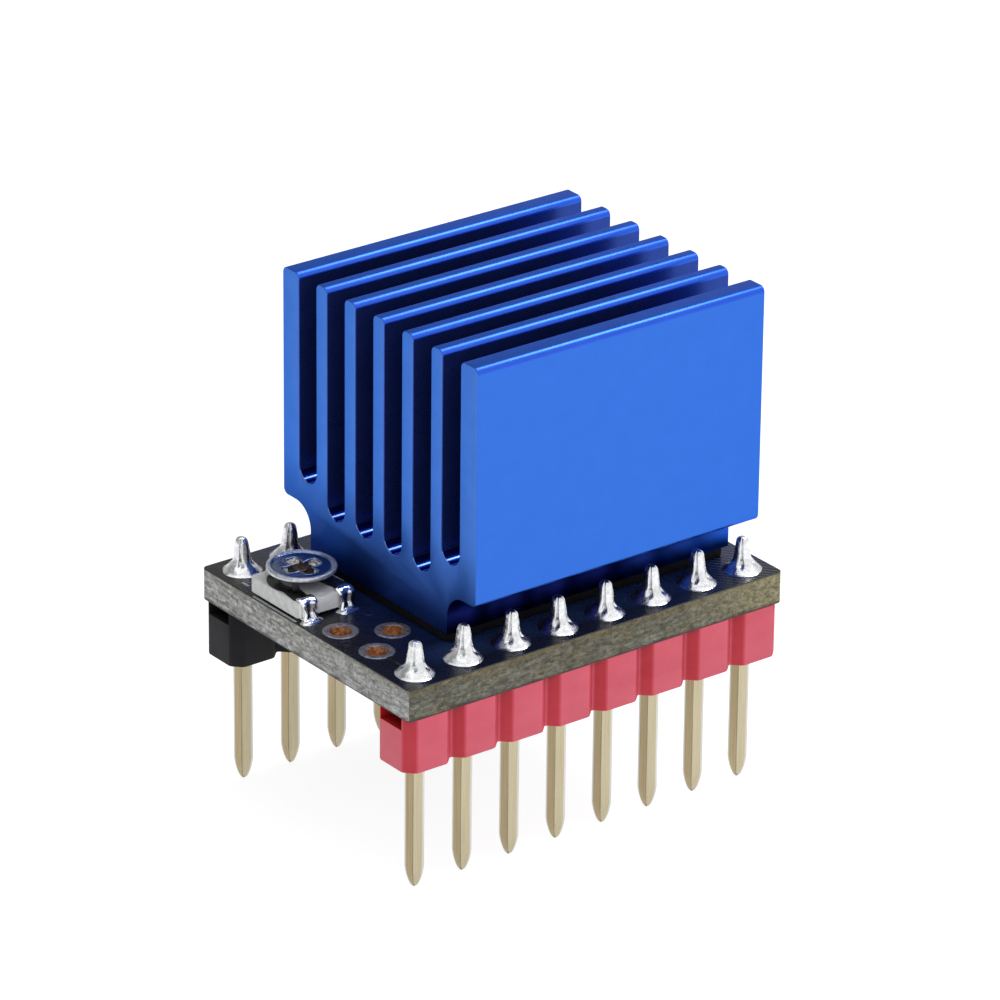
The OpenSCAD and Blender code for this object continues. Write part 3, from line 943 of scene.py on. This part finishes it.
def pin(side, i):
    """A pin: a tapered tip, a square shank and a thin tail inside the solder."""
    node = f"{side}_pin_{i}"
    low, high = box_mm(node)
    middle = (low + high) / 2
    rings = [(low.z + height, half) for height, half in PIN_TIP]
    rings += [(HEADER_FOOT, PIN_HALF), (TOP - 0.05, PIN_HALF), (TOP + 0.02, PIN_TAIL[0][1])]
    rings += [(high.z - depth, half) for depth, half in PIN_TAIL]
    loops = []
    for height, half in rings:
        share = half / PIN_HALF
        section = pin_section(half, 0.008 * share, 0.035 * share)
        loops.append([(middle.x + u, middle.y + v, height) for u, v in section])

    # Painted light and shade by face: ±Y faces lit, ±X faces shaded, the -X -Y corner in painted shade, the
    # outer corners and strips beside them in painted highlight.
    def choose(_normal, centre):
        x, y = centre.x - middle.x, centre.y - middle.y
        u, v = abs(x), abs(y)
        if abs(u - v) < 0.035 and max(u, v) > 0.05:
            return 2 if x < 0 and y < 0 else 3
        if x * y < 0 and min(u, v) > 0.66 * max(u, v):
            return 3
        return 0 if v > u else 1

    finishes = [PIN_LIT_FACES, PIN_SHADED_FACES, PIN_SHADED_CORNER, PIN_OUTLINE_HIGHLIGHT]
    piece(f"{side}_plated_pin_{i}", [rings_shell(loops)], finishes, node, smooth=28, choose=choose)


# ---------------------------------------------------------------- solder joints
def smooth_step(value, low, high):
    t = min(1.0, max(0.0, (value - low) / (high - low)))
    return t * t * (3 - 2 * t)


SOLDER_LEVELS = (
    0.0, 0.015, 0.04, 0.07, 0.11, 0.16, 0.22, 0.28, 0.35,
    0.43, 0.52, 0.62, 0.72, 0.83, 0.94, 1.05, 1.15, 1.24,
)
SOLDER_CAP_STEPS = 7
SOLDER_CAP_H = 0.33
SOLDER_SIDES = 96
SKIRT_H = 0.8
SKIRT_NECK = 0.4
SKIRT_FLARE = 0.43
SQUARENESS = 3.6


def solder_half(height):
    """Half the width of the solder film round the pin, at a height above the board."""
    return 0.345 - 0.035 * smooth_step(height, 0.5, 1.0) - 0.075 * smooth_step(height, 0.9, 1.5)


def solder_radius(angle, height, seed):
    """How far a joint's side is from the pin's axis: a flared skirt turns into a film on the square pin."""
    flare = max(0.0, 1 - height / SKIRT_H)
    round_r = SKIRT_NECK + SKIRT_FLARE * flare ** 1.55 + 0.05 * math.exp(-height / 0.045)
    c, s = abs(math.cos(angle)), abs(math.sin(angle))
    square_r = solder_half(height) / (c ** SQUARENESS + s ** SQUARENESS) ** (1 / SQUARENESS)
    share = smooth_step(height, 0.12, SKIRT_H)
    radius = round_r * (1 - share) + square_r * share
    corner = (math.degrees(angle) - 45) % 90
    corner = min(corner, 90 - corner)
    deep = smooth_step(height, 0.16, 0.36) * (1 - smooth_step(height, 1.15, 1.45))
    drop = math.exp(-((height - 0.38) / 0.16) ** 2)
    radius -= (0.085 + 0.1 * drop) * deep * math.exp(-(corner / (7.5 + 7 * drop)) ** 2)
    radius += 0.03 * share * math.cos(2 * angle) ** 2
    where = Vector((math.cos(angle) * 1.6, math.sin(angle) * 1.6, height * 2.4 + seed * 5.3))
    radius += 0.05 * noise.noise(where) * (0.35 + 0.65 * flare)
    radius += 0.009 * noise.noise(where * 3.1 + Vector((7.0, 1.0, 3.0)))
    return radius


def solder_joint(side, i):
    middle = centre_mm(f"{side}_pin_{i}")
    seed = i + (0 if side == "front" else 20)
    lean_x = 0.05 * noise.noise(Vector((seed * 1.7, 0.3, 0.9)))
    lean_y = 0.05 * noise.noise(Vector((0.4, seed * 2.3, 0.1)))
    stretch = 1.0 + 0.05 * noise.noise(Vector((0.2, 0.6, seed * 1.9)))
    last = SOLDER_LEVELS[-1]
    levels = [(height, height, 1.0) for height in SOLDER_LEVELS]
    for k in range(1, SOLDER_CAP_STEPS + 1):
        turn = PI / 2 * k / SOLDER_CAP_STEPS
        levels.append((last, last + SOLDER_CAP_H * math.sin(turn), max(0.04, math.cos(turn) ** 0.72)))
    rings = []
    for shape, height, shrink in levels:
        risen = (height / 1.5) ** 2
        made = []
        for angle in circle_angles(SOLDER_SIDES):
            radius = solder_radius(angle, shape, seed) * shrink
            made.append((
                middle.x + radius * math.cos(angle) + lean_x * risen,
                middle.y + radius * math.sin(angle) + lean_y * risen,
                TOP + height * stretch,
            ))
        rings.append(made)
    piece(f"{side}_solder_cone_{i}", [rings_shell(rings)], [SOLDER], f"{side}_solder_{i}", smooth=70)


# ---------------------------------------------------------------- trimming potentiometer
def at_trim(outline):
    return shifted(outline, TRIM.x, TRIM.y)


def band_outline(inner, outer, start, end, steps=20):
    """Outline of part of a ring about the origin, between two angles in degrees."""
    return arc((0, 0), outer, start, end, steps) + arc((0, 0), inner, end, start, steps)


def trimmer_body():
    low = TOP + SHEET
    outline = at_trim(shifted(rounded_box(TRIM_L, TRIM_W, 0.2, 5), *TRIM_SHIFT))
    lug = at_trim(band_outline(*LUG_BAND))
    shells = [
        prism(outline, low, low + TRIM_T, "Z", 0.05, 3),
        prism(lug, low + TRIM_T - 0.05, low + TRIM_T + 0.28, "Z", 0.04, 2),
    ]

    def choose(normal, _centre):
        return 1 if normal.z > 0.5 or normal.x < -0.5 else 0

    piece("trimmer_ceramic", shells, [CERAMIC, CERAMIC_SHADE], "trimmer_base", choose=choose)


def trimmer_film():
    low, high, bevel = CERAMIC_TOP - 0.01, CERAMIC_TOP + 0.03, 0.012
    track = at_trim(shifted(band_outline(*FILM_BAND, 48), TRIM_SHIFT.x, 0))
    shells = [prism(track, low, high, "Z", bevel, 2)]
    for way in (-1, 1):
        x, y = TRIM.x + TRIM_SHIFT.x + way * 1.02, TRIM.y + TRIM_SHIFT.y - 0.98
        lead = shifted(rounded_box(0.78, 1.15, 0.14, 4), x, y, way * 8)
        shells.append(prism(lead, low, high - 0.004, "Z", bevel, 2))
    piece("trimmer_film_horseshoe", shells, [FILM], "trimmer_track")


def bent_strip(path, thick, radius=0.09):
    """Closed outline of sheet metal bent along a flat path, with rounded bends."""
    smooth_path = [path[0]]
    for before, here, after in zip(path, path[1:], path[2:]):
        smooth_path += bend(before, here, after, radius, 5)
    return strip_outline(smooth_path + [path[-1]], thick)


CLIP_STRANDS = 17
CLIP_SOLDER = ((1.0, 0.0), (0.97, 0.025), (0.84, 0.06), (0.6, 0.12), (0.32, 0.17), (0.05, 0.18))


def clip_strip(middle, half, face):
    """A bowed strip, pressed to a crease along its middle and to a waist halfway up."""
    mid = SHEET / 2
    over = TOP + SHEET + TRIM_T + mid
    leg = (
        (face + 0.3, over - 0.01), (face + 0.1, over), (face - mid, over - 0.13),
        (face - mid, TOP + 0.42), (face - mid - 0.1, TOP + mid), (face - 0.4, TOP + mid),
    )
    strands = []
    for k in range(CLIP_STRANDS):
        side = -1 + 2 * k / (CLIP_STRANDS - 1)
        thick = SHEET * max(0.3, math.sqrt(1 - side ** 6))
        crease = 0.07 * (1 - math.exp(-(side / 0.4) ** 2))
        path = [(y - (crease if 1 < j < 5 else 0.0), z) for j, (y, z) in enumerate(leg)]
        strand = []
        for y, z in bent_strip(path, thick, 0.08):
            rise = (z - TOP) / (TRIM_T + SHEET)
            spread = 1.12 - 0.4 * math.exp(-((rise - 0.5) / 0.28) ** 2)
            strand.append((middle + side * half * spread, y, z))
        strands.append(strand)
    return rings_shell(strands)


def clip_solder(x, y, seed):
    """A low uneven puddle of solder."""
    rings = []
    for share, height in CLIP_SOLDER:
        made = []
        for angle in circle_angles(40):
            c, s = math.cos(angle), math.sin(angle)
            reach = share * (1 + 0.3 * noise.noise(Vector((1.4 * c, 1.4 * s, seed))))
            made.append((x + 0.58 * reach * c, y + 0.34 * reach * s, TOP + height))
        rings.append(made)
    return rings_shell(rings)


def trimmer_clips():
    """Each clip: a foot soldered to the board, a bowed leg and a tongue curled over the body."""
    face = TRIM.y + TRIM_SHIFT.y - TRIM_W / 2
    near, far = face - 0.06, face + 0.5
    foot = [(near, TOP + SHEET), (near, TOP), (far, TOP), (far, TOP + SHEET)]
    for i in (1, 2):
        node = f"trimmer_terminal_{i}"
        low, high = box_mm(node)
        middle = (low.x + high.x) / 2
        shells = [
            clip_strip(middle, (high.x - low.x) / 2, face),
            prism(foot, low.x + 0.05, high.x - 0.05, "X", 0.02, 1),
            (*clip_solder(middle, face - 0.22, i * 3.7), 1),
        ]
        piece(f"trimmer_clip_{i}", shells, [TIN, SOLDER], node, smooth=50)


def trimmer_strip():
    low, high = box_mm("trimmer_wiper_terminal")
    half, reach = 0.45, TRIM_W / 2 + 0.4
    outline = softened(at_trim([(-half, 0), (half, 0), (half, reach), (-half, reach)]), 0.06)
    shell = prism(outline, low.z, high.z, "Z", 0.03, 2)
    piece("trimmer_wiper_strip", [shell], [TIN], "trimmer_wiper_terminal", smooth=45)


def trimmer_rivet():
    low, _ = box_mm("trimmer_rivet")
    head = ROTOR_Z + 0.15
    profile = [
        (0.02, low.z), (0.34, low.z), (0.34, CERAMIC_TOP - 0.05), (0.22, CERAMIC_TOP), (0.22, head),
        (0.285, head), (0.29, head + 0.03), (0.27, head + 0.055), (0.22, head + 0.07), (0.15, head + 0.066),
        (0.1, head + 0.045), (0.05, head + 0.035), (0.02, head + 0.033),
    ]
    piece("trimmer_rivet_head", [turned(profile, TRIM.x, TRIM.y, 48)], [BRASS], "trimmer_rivet")


CROSS_REACH = 0.875
CROSS_HALF = 0.28
CROSS_CORNER = 0.12
CROSS_HUB = 0.42
CROSS_FLOOR = 0.13
DISH_H = 0.325
DISH_SAG = 0.035
LIP_H = 0.035


def box_distance(x, y, half_x, half_y, corner):
    """Distance outside a rectangle with rounded corners about the origin."""
    qx, qy = abs(x) - half_x + corner, abs(y) - half_y + corner
    outside = math.hypot(max(qx, 0), max(qy, 0))
    return outside + min(max(qx, qy), 0.0) - corner


def cross_distance(x, y):
    """Distance outside the screwdriver cross: four arms and a round middle."""
    along_x = box_distance(x, y, CROSS_REACH, CROSS_HALF, CROSS_CORNER)
    along_y = box_distance(x, y, CROSS_HALF, CROSS_REACH, CROSS_CORNER)
    return min(along_x, along_y, math.hypot(x, y) - CROSS_HUB)


def rotor_top(x, y):
    """Height of the disc's upper face above its underside."""
    radius = math.hypot(x, y)
    rim = ROTOR_H - 0.035 * smooth_step(radius, 1.46, ROTOR_R) ** 2
    dish = DISH_H - DISH_SAG * (1 - smooth_step(radius, 0.5, 1.3))
    height = dish + (rim - dish) * smooth_step(radius, 1.25, 1.4)
    outside = cross_distance(x, y)
    lip = LIP_H * math.exp(-((outside - 0.07) / 0.05) ** 2)
    inside = 1 - smooth_step(outside, -0.045, 0.02)
    return (height + lip) * (1 - inside) + CROSS_FLOOR * inside


ROTOR_BORE = 0.25
ROTOR_FACE = 1.47
ROTOR_RIM_FROM = 1.36
GLINT_FROM = 0.62
ROTOR_SIDES = 288
ROTOR_RINGS = 72
ROTOR_EDGE = (
    (1.5, 0.392), (1.53, 0.37), (1.547, 0.34), (ROTOR_R, 0.32), (ROTOR_R, 0.25), (1.54, 0.225), (1.5, 0.21),
    (1.3, 0.19), (1.05, 0.03), (0.95, 0.0), (ROTOR_BORE, 0.0), (ROTOR_BORE, 0.02),
)


def trimmer_rotor():
    """The adjusting disc: a dished top with the cross pressed into it, a turned rim and the tab below."""
    rings = []
    for k in range(ROTOR_RINGS + 1):
        radius = ROTOR_BORE + (ROTOR_FACE - ROTOR_BORE) * k / ROTOR_RINGS
        level = ring(0.0, 0.0, radius, 0.0, ROTOR_SIDES)
        rings.append([(TRIM.x + x, TRIM.y + y, ROTOR_Z + rotor_top(x, y)) for x, y, _ in level])
    rings += [ring(TRIM.x, TRIM.y, radius, ROTOR_Z + height, ROTOR_SIDES) for radius, height in ROTOR_EDGE]
    tab = at_trim(band_outline(*TAB_BAND, 6))
    shells = [
        rings_shell(rings + [rings[0]], close=False),
        prism(tab, ROTOR_Z - 0.22, ROTOR_Z + 0.3, "Z", 0.03, 2),
    ]

    # Painted light and shade: painted glints at the cross's arm ends, painted shade below the disc's face.
    def choose(_normal, centre):
        x, y = centre.x - TRIM.x, centre.y - TRIM.y
        radius = math.hypot(x, y)
        if cross_distance(x, y) < 0.0 and centre.z > ROTOR_Z + 0.05:
            return 2 if radius > GLINT_FROM else 1
        if centre.z < ROTOR_Z + 0.2:
            return 4
        return 3 if radius > ROTOR_RIM_FROM else 0

    finishes = [ROTOR_METAL, ROTOR_SLOT, ROTOR_GLINT, ROTOR_RIM, ROTOR_SHADED_UNDERSIDE]
    piece("trimmer_adjusting_disc", shells, finishes, "trimmer_rotor", smooth=60, body=ROTOR, choose=choose)


def trimmer_wiper():
    """The sprung contact keeps its CAD mesh and takes the brass finish."""
    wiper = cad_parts["trimmer_wiper"]
    for slot in wiper.material_slots:
        slot.material = BRASS.mat
    if not wiper.material_slots:
        wiper.data.materials.append(BRASS.mat)


# ---------------------------------------------------------------- parts under the board
def chip_body():
    low, high = box_mm("driver_chip")
    middle = (low + high) / 2
    shells = [prism(footprint("driver_chip", 0.12, 4), low.z, high.z, "Z", 0.03, 2, bottom=0.05)]
    count, edge, inwards = 8, 2.5, 0.985
    for k in range(count):
        offset = (k - (count - 1) / 2) * LEAD_PITCH
        for x, y, turn in ((offset, -edge, 0), (offset, edge, 0), (-edge, offset, 90), (edge, offset, 90)):
            lead = rounded_box(0.24, 0.1, 0.03, 2)
            lead = shifted(lead, middle.x + x * inwards, middle.y + y * inwards, turn)
            shells.append((*prism(lead, high.z - 0.22, high.z, "Z", 0.02, 1), 1))
    dot = [(x, y) for x, y, _ in ring(middle.x - 1.8, middle.y - 1.8, 0.22, 0.0, 24)]
    shells.append((*prism(dot, low.z - 0.004, low.z + 0.02, "Z", 0.002, 1), 2))
    piece("driver_chip_package", shells, [RESIN, TIN, MARK], "driver_chip")


def chip_part(node, body_finish, cap, top_finish=None):
    """A two-ended chip part: a ceramic body between rounded metal caps, and a film on a resistor."""
    low, high = box_mm(node)
    middle = (low + high) / 2
    size = high - low
    along_x = size.x > size.y
    length, width = (size.x, size.y) if along_x else (size.y, size.x)
    turn = 0 if along_x else 90
    rim = 0.03
    shells = []

    def slab(x, long, wide, bottom, top, bevel, place):
        outline = shifted(rounded_box(long, wide, min(0.05, long / 3), 3), x, 0)
        outline = shifted(outline, middle.x, middle.y, turn)
        shells.append((*prism(outline, bottom, top, "Z", bevel, 2), place))

    slab(0, length - 2 * rim, width - 2 * rim, low.z + rim, high.z, 0.03, 0)
    for way in (-1, 1):
        slab(way * (length - cap) / 2, cap, width, low.z, high.z - 0.02, 0.04, 1)
    if top_finish:
        slab(0, length - 2 * cap - 0.06, width - 0.16, low.z + 0.01, low.z + 0.06, 0.01, 2)
    piece(f"{node}_body", shells, [body_finish, TIN] + ([top_finish] if top_finish else []), node)


# ---------------------------------------------------------------- everything together
heat_sink()
pad()
board()
board_details()
test_rings()
header("front", RED, RED_CHAMFER_SHADE, RED_CHANNEL_SHADE, RED_CORNER_SHADE, RED_FAR_CHAMFER_SHADE)
header("rear", BLACK, BLACK_CHAMFER_SHADE, BLACK_CHANNEL_SHADE, BLACK_CORNER_SHADE, BLACK_CHAMFER_SHADE)
for number in range(1, PINS + 1):
    for row_side in ("front", "rear"):
        pin(row_side, number)
        solder_joint(row_side, number)
trimmer_body()
trimmer_film()
trimmer_clips()
trimmer_strip()
trimmer_rivet()
trimmer_rotor()
chip_body()
for number in (1, 2):
    chip_part(f"sense_resistor_{number}", RES_SIDE, 0.5, RES_BODY)
    chip_part(f"supply_capacitor_{number}", CAP_BODY, 0.4)
    chip_part(f"pull_resistor_{number}", RES_SIDE, 0.3, RES_BODY)
chip_part("charge_pump_capacitor", CAP_BODY, 0.35)
chip_part("regulator_capacitor", CAP_BODY, 0.35)
trimmer_wiper()


# ---------------------------------------------------------------- floor, light and camera
FLOOR_SIZE = 4.0
FLOOR_GREY = (0.22, 0.22, 0.22, 1)
FLOOR_EDGES = (-30.0, 50.0)
FLOOR_GLOW = (0.84, 0.99)
BACK_LIGHT = ((0.0, 0.45), (0.42, 0.52), (0.56, 0.3), (0.72, 0.14), (0.82, 1.2), (1.0, 1.4))
FRONT_LIGHT = ((0.0, 1.0), (0.42, 1.12), (0.56, 1.1), (0.72, 0.95), (0.82, 1.2), (1.0, 1.4))
LAMP_WAY = (0.552, 0.0, 0.834)
LAMP_EDGE = (0.958, 0.98)
LAMP_GLOW = 8.0


def floor():
    """A pale floor that glows a little more towards the front right."""
    bpy.ops.mesh.primitive_plane_add(size=FLOOR_SIZE, location=(0, 0, CAD_BOX[0].z))
    made = bpy.context.object
    made.name = "studio_floor"
    pale = Finish("pale_floor", None, Base_Color=FLOOR_GREY, Roughness=0.9, Emission_Color=WHITE)
    front_right = pale.maths("MULTIPLY_ADD", pale.axis("X"), 0.6, pale.times(pale.axis("Y"), -0.8))
    glow = pale.spread(front_right, *FLOOR_EDGES, *FLOOR_GLOW, "SMOOTHSTEP")
    pale.feed(pale.bsdf.inputs["Emission Strength"], glow)
    made.data.materials.append(pale.mat)


def sky_ramp(sky, height, stops):
    """Brightness of the sky over the sine of the height, eased between its stops."""
    made = sky.node("ShaderNodeValToRGB")
    made.color_ramp.interpolation = "EASE"
    peak = max(value for _, value in stops)
    points = made.color_ramp.elements
    points[0].position, points[1].position = stops[0][0], stops[-1][0]
    for position, _ in stops[1:-1]:
        points.new(position)
    for point, (_, value) in zip(points, stops):
        point.color = (value / peak, value / peak, value / peak, 1)
    sky.feed(made.inputs["Fac"], height)
    return sky.times(made.outputs["Color"], peak)


def studio():
    """Sky of a light tent: a bright ceiling, a fairly bright front, a dim back and one lamp."""
    world = bpy.data.worlds.new("studio")
    bpy.context.scene.world = world
    world.use_nodes = True
    sky = Nodes(world.node_tree)
    back = sky.tree.nodes["Background"]
    back.inputs["Color"].default_value = WHITE
    way = sky.node("ShaderNodeTexCoord").outputs["Generated"]
    x, y, z = sky.split(way)
    towards = sky.maths("MULTIPLY_ADD", x, 0.35, sky.times(y, -0.93))
    tent = sky.node("ShaderNodeMix")
    sky.feed(tent.inputs["Factor"], sky.spread(towards, -0.45, 0.6, easing="SMOOTHSTEP"))
    sky.feed(tent.inputs[2], sky_ramp(sky, z, BACK_LIGHT))
    sky.feed(tent.inputs[3], sky_ramp(sky, z, FRONT_LIGHT))
    lamp = sky.node("ShaderNodeVectorMath", operation="DOT_PRODUCT")
    sky.feed(lamp.inputs[0], way)
    lamp.inputs[1].default_value = LAMP_WAY
    glare = sky.spread(lamp.outputs["Value"], *LAMP_EDGE, 0.0, LAMP_GLOW, "SMOOTHSTEP")
    sky.feed(back.inputs["Strength"], sky.plus(tent.outputs[0], glare))


AZIMUTH = math.radians(-37.38)
ELEVATION = math.radians(24.52)
ROLL = math.radians(0.62)
DISTANCE = 289.7
AIM = Vector((0.0, 0.0, 8.1))
SLIDE = (0.35, 4.87)
SENSOR = 36.0
FOCAL = 6.6118 * SENSOR


def camera():
    data = bpy.data.cameras.new("camera")
    made = bpy.data.objects.new("camera", data)
    bpy.context.scene.collection.objects.link(made)
    back = Vector((
        math.sin(AZIMUTH) * math.cos(ELEVATION),
        -math.cos(AZIMUTH) * math.cos(ELEVATION),
        math.sin(ELEVATION),
    ))
    level = Vector((0, 0, 1)).cross(back).normalized()
    rise = back.cross(level)
    right = level * math.cos(ROLL) + rise * math.sin(ROLL)
    up = rise * math.cos(ROLL) - level * math.sin(ROLL)
    position = (AIM + right * SLIDE[0] + up * SLIDE[1] + back * DISTANCE) * MM
    turn = Matrix((right, up, back)).transposed().to_4x4()
    made.matrix_world = Matrix.Translation(position) @ turn
    data.sensor_width = SENSOR
    data.lens = FOCAL
    data.clip_start = 0.01
    data.clip_end = 20.0
    bpy.context.scene.camera = made


floor()
studio()
camera()
scene = bpy.context.scene
scene.view_settings.view_transform = "Standard"
scene.cycles.use_denoising = True
scene.cycles.max_bounces = 16
scene.cycles.glossy_bounces = 12
